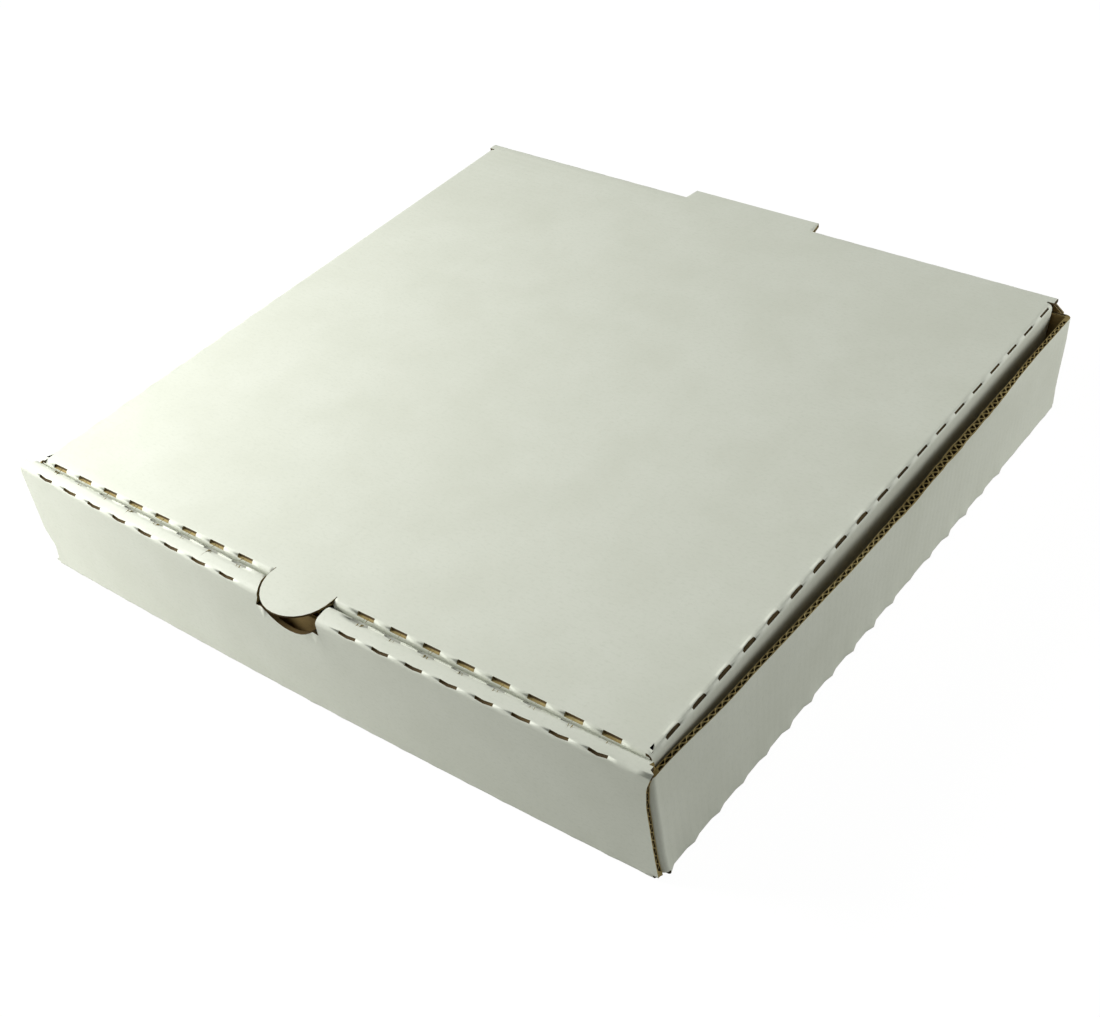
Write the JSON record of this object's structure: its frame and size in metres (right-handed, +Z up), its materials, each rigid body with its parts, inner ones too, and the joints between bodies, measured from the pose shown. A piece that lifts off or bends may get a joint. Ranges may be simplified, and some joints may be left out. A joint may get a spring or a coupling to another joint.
{
  "type": "pizza box",
  "caption": "Shallow square roll-over-front box in corrugated board, with perforated creases, a hinged lid with tuck flaps and a half-round thumb tab over a notch.",
  "frame": {"origin": "middle of the part's outline in plan, thumb tab and rear tab included, on the underside of the base", "axes": "+Z up, +Y towards the lid's hinge at the rear, +X to the right as seen from the front"},
  "size_m": [0.259, 0.2676, 0.0444],
  "materials": {
    "tray_board": "matte white liner outside, plain kraft liner inside, brown fluting at the cut edges",
    "lid_board": "matte white liner outside, plain kraft liner inside, brown fluting at the cut edges"
  },
  "bodies": {
    "tray": {"tray": "tray_board"},
    "lid": {"lid": "lid_board"}
  },
  "joints": [
    {"name": "lid_hinge", "type": "hinge", "parent": "tray", "child": "lid", "pos_m": [0, 0.12735, 0.0436], "axis": [-1, 0, 0], "range_deg": [0, 180]}
  ]
}
